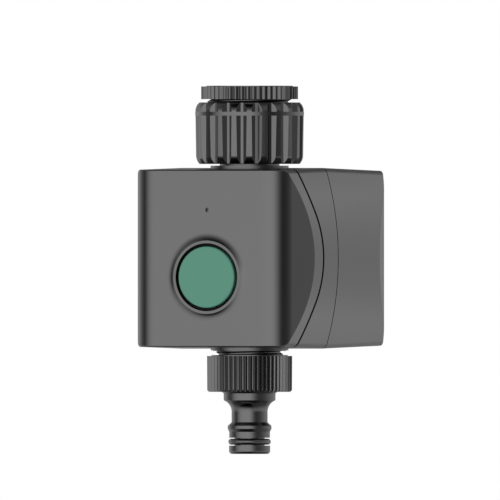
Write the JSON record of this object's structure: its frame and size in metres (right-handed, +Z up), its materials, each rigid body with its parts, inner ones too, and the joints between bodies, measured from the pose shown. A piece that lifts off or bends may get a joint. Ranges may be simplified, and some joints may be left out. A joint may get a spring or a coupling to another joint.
{
  "type": "water valve",
  "caption": "Battery-powered garden tap valve: barrel-sided housing with a front push button, ribbed swivel nut and thread adapter above, knurled quick-connect outlet nipple below.",
  "frame": {"origin": "centre of the inlet adapter's mouth, on the vertical water axis", "axes": "+Z up along the water axis towards the tap, the front face with the button towards -Y, and +X to the right of someone who looks at that face"},
  "size_m": [0.0748, 0.098, 0.1444],
  "materials": {
    "housing": "satin dark grey plastic",
    "fitting": "satin dark grey plastic",
    "button": "satin green plastic",
    "seal": "black rubber",
    "lens": "clear plastic",
    "white_plastic": "white engineering plastic",
    "inner_plastic": "black plastic",
    "copper": "enamelled copper winding",
    "steel": "bright steel",
    "board": "green board laminate",
    "cell": "plain printed sleeve",
    "wire_skin": "plastic insulation"
  },
  "bodies": {
    "housing": {"front_cover": "housing", "middle_housing": "housing", "rear_housing": "housing", "front_seal": "seal", "rear_seal": "seal", "button_seal": "seal", "tact_switch": "inner_plastic", "circuit_board": "board", "board_screws": "steel", "case_screws": "steel", "radio_module": "steel", "capacitor": "inner_plastic", "status_led": "lens", "light_pipe": "lens", "valve_body": "fitting", "swivel_clip": "white_plastic", "inlet_washer": "seal", "bonnet": "white_plastic", "bonnet_screws": "steel", "solenoid_coil": "copper", "solenoid_yoke": "steel", "battery_tray": "inner_plastic", "battery_cells": "cell", "battery_contacts": "steel", "wires": "wire_skin", "button_spring": "steel", "diaphragm_spring": "steel", "plunger_spring": "steel", "diaphragm": "seal"},
    "button": {"push_button": "button", "switch_plunger": "inner_plastic"},
    "nut": {"inlet_nut": "fitting"},
    "tap_seal": {"tap_washer": "seal", "inlet_strainer": "white_plastic"},
    "adapter": {"inlet_adapter": "fitting"},
    "outlet_seal": {"outlet_washer": "seal"},
    "outlet": {"outlet_adaptor": "fitting", "nipple_o_ring": "seal"},
    "core": {"diaphragm_core": "white_plastic"},
    "plunger_body": {"plunger": "steel"},
    "door": {"battery_door": "housing", "door_gasket": "seal", "door_screws": "steel"}
  },
  "joints": [
    {"name": "button_press", "type": "slide", "parent": "housing", "child": "button", "axis": [0, 1, 0], "range_m": [0, 0.0012], "stiffness_N_per_m": 800, "springref_m": -0.002, "deforming": ["button_spring"]},
    {"name": "nut_swivel", "type": "hinge", "parent": "housing", "child": "nut", "pos_m": [0, 0, -0.0177], "axis": [0, 0, 1], "continuous": true},
    {"name": "adapter_rise", "type": "slide", "parent": "nut", "child": "tap_seal", "axis": [0, 0, 1], "range_m": [0, 0.00462]},
    {"name": "adapter_turn", "type": "hinge", "parent": "tap_seal", "child": "adapter", "pos_m": [0, 0, -0.0057], "axis": [0, 0, 1], "range_deg": [0, 720]},
    {"name": "outlet_drop", "type": "slide", "parent": "housing", "child": "outlet_seal", "axis": [0, 0, -1], "range_m": [0, 0.00363]},
    {"name": "outlet_turn", "type": "hinge", "parent": "outlet_seal", "child": "outlet", "pos_m": [0, 0, -0.1177], "axis": [0, 0, -1], "range_deg": [0, 720]},
    {"name": "core_lift", "type": "slide", "parent": "housing", "child": "core", "axis": [0, 1, 0], "range_m": [0, 0.0015], "deforming": ["diaphragm_spring", "diaphragm"]},
    {"name": "plunger_lift", "type": "slide", "parent": "housing", "child": "plunger_body", "axis": [0, 1, 0], "range_m": [0, 0.0025], "deforming": ["plunger_spring"]},
    {"name": "door_lift_off", "type": "slide", "parent": "housing", "child": "door", "axis": [0, 1, 0], "range_m": [0, 0.02]}
  ],
  "couplings": [
    {"joint": "adapter_rise", "follows": "adapter_turn", "m_per_rad": 0.00036749},
    {"joint": "outlet_drop", "follows": "outlet_turn", "m_per_rad": 0.00028871},
    {"joint": "core_lift", "follows": "plunger_lift", "ratio": 0.6}
  ]
}
